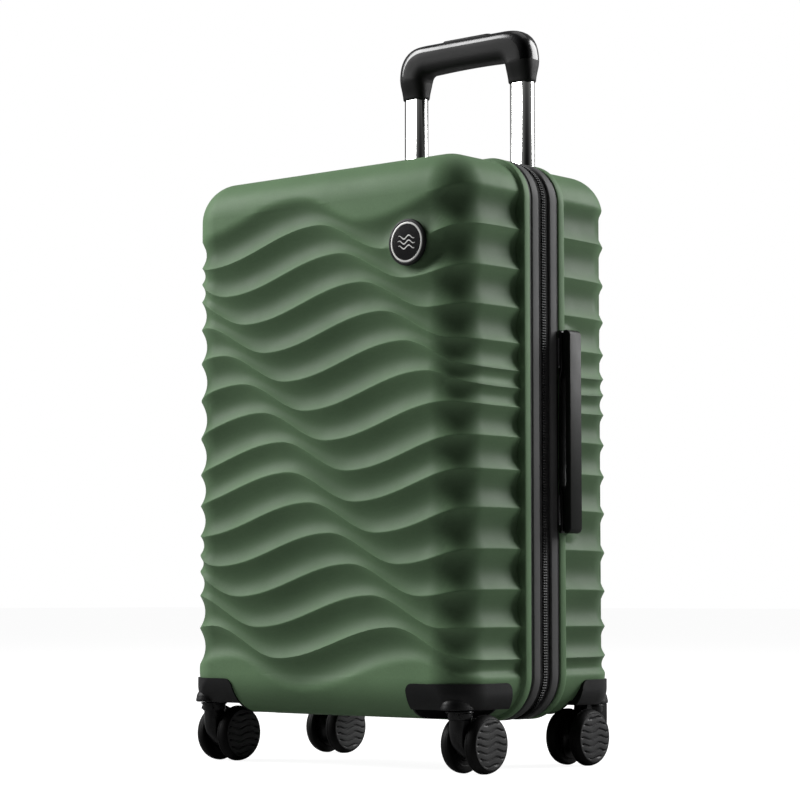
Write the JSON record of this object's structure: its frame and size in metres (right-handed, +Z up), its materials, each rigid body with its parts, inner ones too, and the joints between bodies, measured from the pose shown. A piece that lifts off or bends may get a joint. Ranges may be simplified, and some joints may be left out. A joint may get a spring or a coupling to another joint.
{
  "type": "hard-shell upright suitcase",
  "caption": "Hard-shell cabin suitcase with a zipped clamshell body, telescopic pull handle, carry handles and swivelling twin-wheel casters.",
  "frame": {"origin": "on the floor, under the middle of the whole object", "axes": "+Z up, -Y the front face, +X the side with the carry handle"},
  "size_m": [0.3558, 0.2432, 0.7072],
  "materials": {
    "shell": "moulded polycarbonate shell, satin with ribs",
    "trim": "black moulded nylon, fine texture",
    "grip": "soft black grip moulding",
    "piping": "grey extruded edge profile",
    "zip": "black woven zip tape with nylon coil",
    "lining": "woven polyester lining",
    "webbing": "black woven webbing",
    "chrome": "polished tube",
    "metal": "satin steel",
    "tread": "soft polyurethane tread",
    "badge": "black disc with a light ring"
  },
  "bodies": {
    "rear_case": {"rear_shell": "shell", "rear_piping": "piping", "rear_zip_tape": "zip", "hinge_tape": "zip", "rear_lining": "lining", "strap_left": "webbing", "strap_right": "webbing", "strap_buckle": "trim", "rear_left_guard": "trim", "rear_right_guard": "trim", "outer_tube_left": "chrome", "outer_tube_right": "chrome", "trolley_bezel": "trim", "trolley_bracket": "metal", "side_handle_base": "trim", "top_handle_base": "trim", "lock_body": "trim"},
    "front_case": {"front_shell": "shell", "front_piping": "piping", "front_zip_tape": "zip", "front_lining": "lining", "badge": "badge", "front_left_guard": "trim", "front_right_guard": "trim"},
    "divider": {"divider_panel": "lining"},
    "trolley_middle": {"middle_tube_left": "chrome", "middle_tube_right": "chrome"},
    "trolley_inner": {"inner_tube_left": "chrome", "inner_tube_right": "chrome", "trolley_grip": "grip"},
    "trolley_button": {"trolley_button": "trim"},
    "side_handle": {"side_handle_grip": "grip"},
    "top_handle": {"top_handle_grip": "grip"},
    "front_left_caster": {"front_left_fork": "trim", "front_left_axle": "metal"},
    "front_left_inner_wheel": {"front_left_inner_wheel": "tread"},
    "front_left_outer_wheel": {"front_left_outer_wheel": "tread"},
    "front_right_caster": {"front_right_fork": "trim", "front_right_axle": "metal"},
    "front_right_inner_wheel": {"front_right_inner_wheel": "tread"},
    "front_right_outer_wheel": {"front_right_outer_wheel": "tread"},
    "rear_left_caster": {"rear_left_fork": "trim", "rear_left_axle": "metal"},
    "rear_left_inner_wheel": {"rear_left_inner_wheel": "tread"},
    "rear_left_outer_wheel": {"rear_left_outer_wheel": "tread"},
    "rear_right_caster": {"rear_right_fork": "trim", "rear_right_axle": "metal"},
    "rear_right_inner_wheel": {"rear_right_inner_wheel": "tread"},
    "rear_right_outer_wheel": {"rear_right_outer_wheel": "tread"},
    "zip_slider_left": {"zip_slider_left": "metal"},
    "zip_pull_left": {"zip_pull_left": "metal"},
    "zip_slider_right": {"zip_slider_right": "metal"},
    "zip_pull_right": {"zip_pull_right": "metal"},
    "lock_dial_1": {"lock_dial_1": "metal"},
    "lock_dial_2": {"lock_dial_2": "metal"},
    "lock_dial_3": {"lock_dial_3": "metal"},
    "lock_latch": {"lock_latch": "metal"}
  },
  "joints": [
    {"name": "shell_open", "type": "hinge", "parent": "rear_case", "child": "front_case", "pos_m": [-0.17875, 0.0019, 0.3], "axis": [0, 0, -1], "range_deg": [0, 180], "deforming": ["hinge_tape"]},
    {"name": "divider_fold", "type": "hinge", "parent": "front_case", "child": "divider", "pos_m": [-0.16395, -0.00885, 0.3], "axis": [0, 0, 1], "range_deg": [0, 90]},
    {"name": "trolley_middle_slide", "type": "slide", "parent": "rear_case", "child": "trolley_middle", "axis": [0, 0, 1], "range_m": [0, 0.2]},
    {"name": "trolley_inner_slide", "type": "slide", "parent": "trolley_middle", "child": "trolley_inner", "axis": [0, 0, 1], "range_m": [-0.096, 0.107]},
    {"name": "trolley_button_press", "type": "slide", "parent": "trolley_inner", "child": "trolley_button", "axis": [0, 0, -1], "range_m": [0, 0.003], "stiffness_N_per_m": 500, "springref_m": -0.002},
    {"name": "side_handle_pull", "type": "slide", "parent": "rear_case", "child": "side_handle", "axis": [1, 0, 0], "range_m": [0, 0.009], "stiffness_N_per_m": 300, "springref_m": -0.003},
    {"name": "top_handle_pull", "type": "slide", "parent": "rear_case", "child": "top_handle", "axis": [0, 0, 1], "range_m": [0, 0.009], "stiffness_N_per_m": 300, "springref_m": -0.003},
    {"name": "front_left_swivel", "type": "hinge", "parent": "front_case", "child": "front_left_caster", "pos_m": [-0.15595, -0.0951, 0.05], "axis": [0, 0, 1], "continuous": true},
    {"name": "front_left_inner_spin", "type": "hinge", "parent": "front_left_caster", "child": "front_left_inner_wheel", "pos_m": [-0.14195, -0.0746, 0.026], "axis": [1, 0, 0], "continuous": true},
    {"name": "front_left_outer_spin", "type": "hinge", "parent": "front_left_caster", "child": "front_left_outer_wheel", "pos_m": [-0.16995, -0.0746, 0.026], "axis": [1, 0, 0], "continuous": true},
    {"name": "front_right_swivel", "type": "hinge", "parent": "front_case", "child": "front_right_caster", "pos_m": [0.14305, -0.0951, 0.05], "axis": [0, 0, 1], "continuous": true},
    {"name": "front_right_inner_spin", "type": "hinge", "parent": "front_right_caster", "child": "front_right_inner_wheel", "pos_m": [0.12905, -0.0746, 0.026], "axis": [1, 0, 0], "continuous": true},
    {"name": "front_right_outer_spin", "type": "hinge", "parent": "front_right_caster", "child": "front_right_outer_wheel", "pos_m": [0.15705, -0.0746, 0.026], "axis": [1, 0, 0], "continuous": true},
    {"name": "rear_left_swivel", "type": "hinge", "parent": "rear_case", "child": "rear_left_caster", "pos_m": [-0.15595, 0.0989, 0.05], "axis": [0, 0, 1], "continuous": true},
    {"name": "rear_left_inner_spin", "type": "hinge", "parent": "rear_left_caster", "child": "rear_left_inner_wheel", "pos_m": [-0.14195, 0.0784, 0.026], "axis": [1, 0, 0], "continuous": true},
    {"name": "rear_left_outer_spin", "type": "hinge", "parent": "rear_left_caster", "child": "rear_left_outer_wheel", "pos_m": [-0.16995, 0.0784, 0.026], "axis": [1, 0, 0], "continuous": true},
    {"name": "rear_right_swivel", "type": "hinge", "parent": "rear_case", "child": "rear_right_caster", "pos_m": [0.14305, 0.0989, 0.05], "axis": [0, 0, 1], "continuous": true},
    {"name": "rear_right_inner_spin", "type": "hinge", "parent": "rear_right_caster", "child": "rear_right_inner_wheel", "pos_m": [0.12905, 0.0784, 0.026], "axis": [1, 0, 0], "continuous": true},
    {"name": "rear_right_outer_spin", "type": "hinge", "parent": "rear_right_caster", "child": "rear_right_outer_wheel", "pos_m": [0.15705, 0.0784, 0.026], "axis": [1, 0, 0], "continuous": true},
    {"name": "zip_slider_left_slide", "type": "slide", "parent": "rear_case", "child": "zip_slider_left", "axis": [-1, 0, 0], "range_m": [0, 0.08]},
    {"name": "zip_pull_left_lift", "type": "hinge", "parent": "zip_slider_left", "child": "zip_pull_left", "pos_m": [-0.01945, 0.0029, 0.557], "axis": [1, 0, 0], "range_deg": [0, 120]},
    {"name": "zip_slider_right_slide", "type": "slide", "parent": "rear_case", "child": "zip_slider_right", "axis": [1, 0, 0], "range_m": [0, 0.08]},
    {"name": "zip_pull_right_lift", "type": "hinge", "parent": "zip_slider_right", "child": "zip_pull_right", "pos_m": [0.00655, 0.0029, 0.557], "axis": [1, 0, 0], "range_deg": [0, 120]},
    {"name": "lock_dial_1_spin", "type": "hinge", "parent": "rear_case", "child": "lock_dial_1", "pos_m": [-0.02845, 0.0424, 0.557], "axis": [1, 0, 0], "continuous": true},
    {"name": "lock_dial_2_spin", "type": "hinge", "parent": "rear_case", "child": "lock_dial_2", "pos_m": [-0.02145, 0.0424, 0.557], "axis": [1, 0, 0], "continuous": true},
    {"name": "lock_dial_3_spin", "type": "hinge", "parent": "rear_case", "child": "lock_dial_3", "pos_m": [-0.01445, 0.0424, 0.557], "axis": [1, 0, 0], "continuous": true},
    {"name": "lock_latch_slide", "type": "slide", "parent": "rear_case", "child": "lock_latch", "axis": [1, 0, 0], "range_m": [0, 0.003]}
  ],
  "couplings": [
    {"joint": "divider_fold", "follows": "shell_open", "ratio": 0.5}
  ]
}
